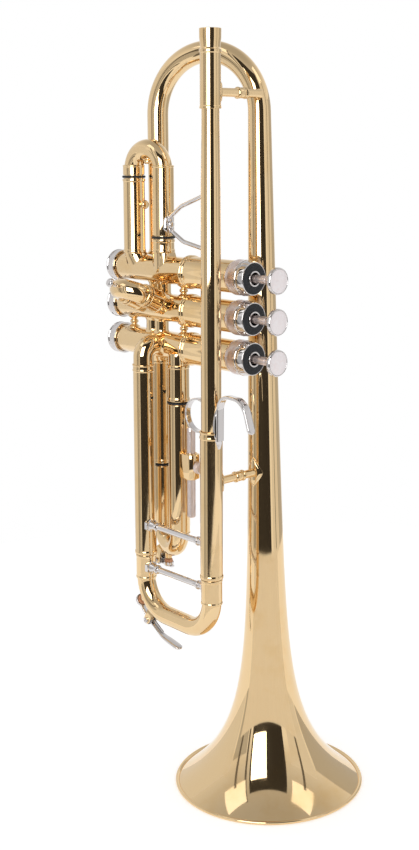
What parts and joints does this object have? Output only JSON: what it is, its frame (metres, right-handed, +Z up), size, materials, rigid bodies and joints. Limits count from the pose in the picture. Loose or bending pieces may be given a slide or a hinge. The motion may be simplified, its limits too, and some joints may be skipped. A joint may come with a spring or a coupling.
{
  "type": "trumpet",
  "caption": "Valve trumpet standing on its bell: lacquered tubing, piston valves, pull-out tuning slides, finger hook and ring, sprung water keys.",
  "frame": {"origin": "on the bell's axis, in the plane of the bell's rim, on which it stands", "axes": "+Z up along the bell's axis to the bow; +X towards the finger buttons; -Y towards the player's right, where the leadpipe runs"},
  "size_m": [0.1693, 0.1335, 0.4771],
  "materials": {
    "lacquer": "polished, clear lacquered",
    "nickel": "polished nickel plate",
    "pearl": "glossy mother-of-pearl",
    "felt": "dense black felt",
    "cork": "natural cork",
    "steel": "spring wire"
  },
  "bodies": {
    "trumpet_body": {"bell": "lacquer", "bell_brace_upper": "lacquer", "bell_brace_lower": "lacquer", "mouthpiece_receiver": "lacquer", "leadpipe": "lacquer", "upper_slide_tube": "lacquer", "lower_slide_tube": "lacquer", "slide_brace_fixed": "nickel", "little_finger_hook": "nickel", "valve_casing_1": "lacquer", "top_cap_1": "nickel", "cap_felt_1": "felt", "bottom_cap_1": "nickel", "valve_casing_2": "lacquer", "top_cap_2": "nickel", "cap_felt_2": "felt", "bottom_cap_2": "nickel", "valve_casing_3": "lacquer", "top_cap_3": "nickel", "cap_felt_3": "felt", "bottom_cap_3": "nickel", "windway_1_2": "lacquer", "windway_2_3": "lacquer", "casing_post_1_2": "lacquer", "casing_post_2_3": "lacquer", "casing_post_rear": "lacquer", "first_slide_tube_lower": "lacquer", "first_slide_tube_upper": "lacquer", "second_slide_tube_upper": "lacquer", "second_slide_tube_lower": "lacquer", "third_slide_tube_lower": "lacquer", "third_slide_tube_upper": "lacquer"},
    "tuning_slide": {"tuning_slide": "lacquer", "slide_brace_moving": "nickel", "water_key_saddle": "lacquer"},
    "water_key": {"water_key": "nickel", "water_key_cork": "cork"},
    "first_slide": {"first_slide": "lacquer", "thumb_saddle": "nickel"},
    "second_slide": {"second_slide": "lacquer"},
    "third_slide": {"third_slide": "lacquer", "ring_holder": "lacquer", "third_water_key_saddle": "lacquer"},
    "finger_ring": {"finger_ring": "nickel"},
    "ring_thumb_screw": {"ring_thumb_screw": "nickel"},
    "third_water_key": {"third_water_key": "nickel", "third_water_key_cork": "cork"},
    "valve_1": {"piston_1": "nickel", "valve_spring_1": "steel", "finger_button_1": "nickel", "button_pearl_1": "pearl"},
    "valve_2": {"piston_2": "nickel", "valve_spring_2": "steel", "finger_button_2": "nickel", "button_pearl_2": "pearl"},
    "valve_3": {"piston_3": "nickel", "valve_spring_3": "steel", "finger_button_3": "nickel", "button_pearl_3": "pearl"}
  },
  "joints": [
    {"name": "valve_1_press", "type": "slide", "parent": "trumpet_body", "child": "valve_1", "axis": [-0.9997, 0, 0.026], "range_m": [0, 0.0155], "stiffness_N_per_m": 120, "springref_m": -0.015},
    {"name": "valve_2_press", "type": "slide", "parent": "trumpet_body", "child": "valve_2", "axis": [-0.9997, 0, 0.026], "range_m": [0, 0.0155], "stiffness_N_per_m": 120, "springref_m": -0.015},
    {"name": "valve_3_press", "type": "slide", "parent": "trumpet_body", "child": "valve_3", "axis": [-0.9997, 0, 0.026], "range_m": [0, 0.0155], "stiffness_N_per_m": 120, "springref_m": -0.015},
    {"name": "tuning_slide_pull", "type": "slide", "parent": "trumpet_body", "child": "tuning_slide", "axis": [-0.026, 0, -0.9997], "range_m": [0, 0.045]},
    {"name": "water_key_lever", "type": "hinge", "parent": "tuning_slide", "child": "water_key", "pos_m": [-0.0616, -0.0461, 0.107], "axis": [0, -1, 0], "range_deg": [0, 20], "stiffness_Nm_per_rad": 0.05, "springref_deg": -20.05},
    {"name": "first_slide_pull", "type": "slide", "parent": "trumpet_body", "child": "first_slide", "axis": [0.026, 0, 0.9997], "range_m": [0, 0.02]},
    {"name": "second_slide_pull", "type": "slide", "parent": "trumpet_body", "child": "second_slide", "axis": [0.0106, -0.9135, 0.4067], "range_m": [0, 0.008]},
    {"name": "third_slide_pull", "type": "slide", "parent": "trumpet_body", "child": "third_slide", "axis": [-0.026, 0, -0.9997], "range_m": [0, 0.015]},
    {"name": "finger_ring_adjust", "type": "slide", "parent": "third_slide", "child": "finger_ring", "axis": [0.026, 0, 0.9997], "range_m": [-0.012, 0.018]},
    {"name": "thumb_screw_turn", "type": "hinge", "parent": "third_slide", "child": "ring_thumb_screw", "pos_m": [-0.03217, -0.0334, 0.21301], "axis": [0.9997, 0, -0.026], "continuous": true},
    {"name": "third_water_key_lever", "type": "hinge", "parent": "third_slide", "child": "third_water_key", "pos_m": [-0.07093, -0.0282, 0.14209], "axis": [0, 1, 0], "range_deg": [0, 20], "stiffness_Nm_per_rad": 0.03, "springref_deg": -20.05}
  ]
}
